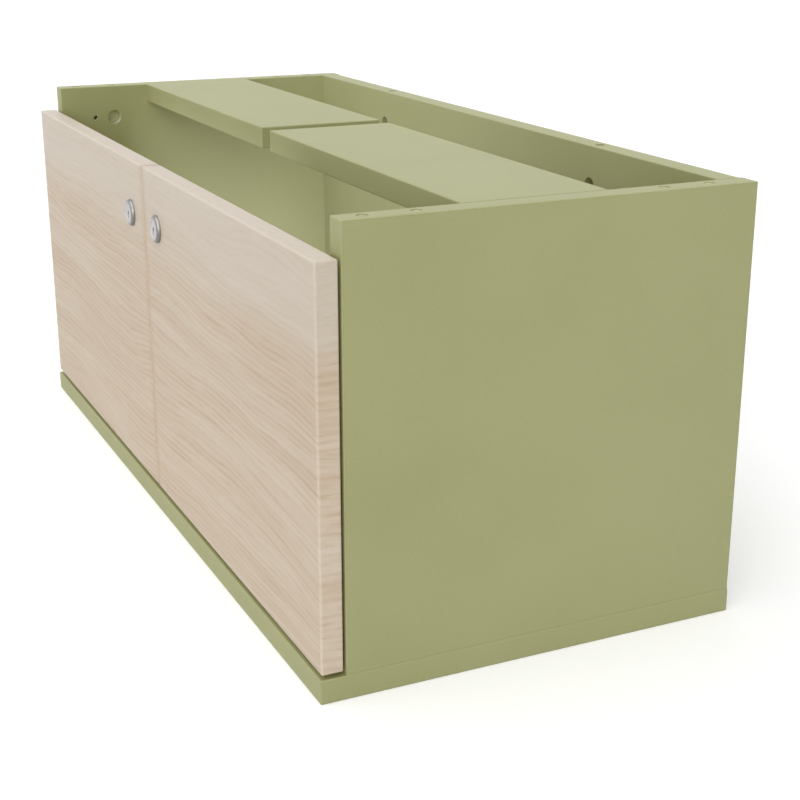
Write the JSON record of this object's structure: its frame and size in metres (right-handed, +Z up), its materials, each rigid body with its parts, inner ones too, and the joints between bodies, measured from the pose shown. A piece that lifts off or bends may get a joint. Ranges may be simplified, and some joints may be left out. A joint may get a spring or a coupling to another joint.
{
  "type": "two-door cabinet",
  "caption": "Low open-topped cabinet with overlay doors on concealed hinges, a lock in each door, top rails and bores for a top plate.",
  "frame": {"origin": "on the floor, in the middle of the cabinet's outline", "axes": "+X to the right of someone who faces the doors, +Y to the back, +Z up"},
  "size_m": [0.801, 0.3524, 0.345],
  "materials": {
    "sage_board": "matt sage-green melamine",
    "maple_board": "satin pale maple",
    "maple_edging": "satin pale maple",
    "beech_dowel": "raw beech",
    "bumper_rubber": "soft clear",
    "hinge_steel": "nickel plated",
    "zinc_screw": "zinc plated",
    "cam_zinc": "cast zinc",
    "lock_steel": "zinc plated",
    "lock_nickel": "satin nickel"
  },
  "bodies": {
    "carcass": {"base_panel": "sage_board", "left_side": "sage_board", "right_side": "sage_board", "back_panel": "sage_board", "left_top_rail": "sage_board", "right_top_rail": "sage_board", "centre_post": "sage_board", "base_dowels": "beech_dowel", "back_dowels": "beech_dowel", "rail_dowels": "beech_dowel", "base_screws": "zinc_screw", "keeper_screws": "zinc_screw", "lock_keeper": "lock_steel", "left_rail_bolts": "zinc_screw", "left_hinge_plate_screws": "zinc_screw", "left_hinge_arm_screws": "zinc_screw", "left_rail_cams": "cam_zinc", "left_upper_hinge_arm": "hinge_steel", "left_upper_hinge_plate": "hinge_steel", "left_lower_hinge_arm": "hinge_steel", "left_lower_hinge_plate": "hinge_steel", "right_rail_bolts": "zinc_screw", "right_hinge_plate_screws": "zinc_screw", "right_hinge_arm_screws": "zinc_screw", "right_rail_cams": "cam_zinc", "right_upper_hinge_arm": "hinge_steel", "right_upper_hinge_plate": "hinge_steel", "right_lower_hinge_arm": "hinge_steel", "right_lower_hinge_plate": "hinge_steel"},
    "left_door": {"left_door": "maple_board", "left_door_edging": "maple_edging", "left_door_bumpers": "bumper_rubber", "left_hinge_cup_screws": "zinc_screw", "left_lock_housing": "lock_nickel", "left_lock_nut": "lock_steel", "left_upper_hinge_cup": "hinge_steel", "left_upper_hinge_pin": "hinge_steel", "left_lower_hinge_cup": "hinge_steel", "left_lower_hinge_pin": "hinge_steel"},
    "left_lock": {"left_lock_plug": "lock_nickel", "left_lock_cam": "lock_steel", "left_lock_cam_screw": "zinc_screw"},
    "right_door": {"right_door": "maple_board", "right_door_edging": "maple_edging", "right_door_bumpers": "bumper_rubber", "right_hinge_cup_screws": "zinc_screw", "right_lock_housing": "lock_nickel", "right_lock_nut": "lock_steel", "right_upper_hinge_cup": "hinge_steel", "right_upper_hinge_pin": "hinge_steel", "right_lower_hinge_cup": "hinge_steel", "right_lower_hinge_pin": "hinge_steel"},
    "right_lock": {"right_lock_plug": "lock_nickel", "right_lock_cam": "lock_steel", "right_lock_cam_screw": "zinc_screw"}
  },
  "joints": [
    {"name": "left_door_swing", "type": "hinge", "parent": "carcass", "child": "left_door", "pos_m": [-0.393, -0.16575, 0.17125], "axis": [0, 0, -1], "range_deg": [0, 105]},
    {"name": "left_lock_turn", "type": "hinge", "parent": "left_door", "child": "left_lock", "pos_m": [-0.04, -0.16, 0.272], "axis": [0, -1, 0], "range_deg": [0, 90]},
    {"name": "right_door_swing", "type": "hinge", "parent": "carcass", "child": "right_door", "pos_m": [0.393, -0.16575, 0.17125], "axis": [0, 0, 1], "range_deg": [0, 105]},
    {"name": "right_lock_turn", "type": "hinge", "parent": "right_door", "child": "right_lock", "pos_m": [0.04, -0.16, 0.272], "axis": [0, 1, 0], "range_deg": [0, 90]}
  ]
}
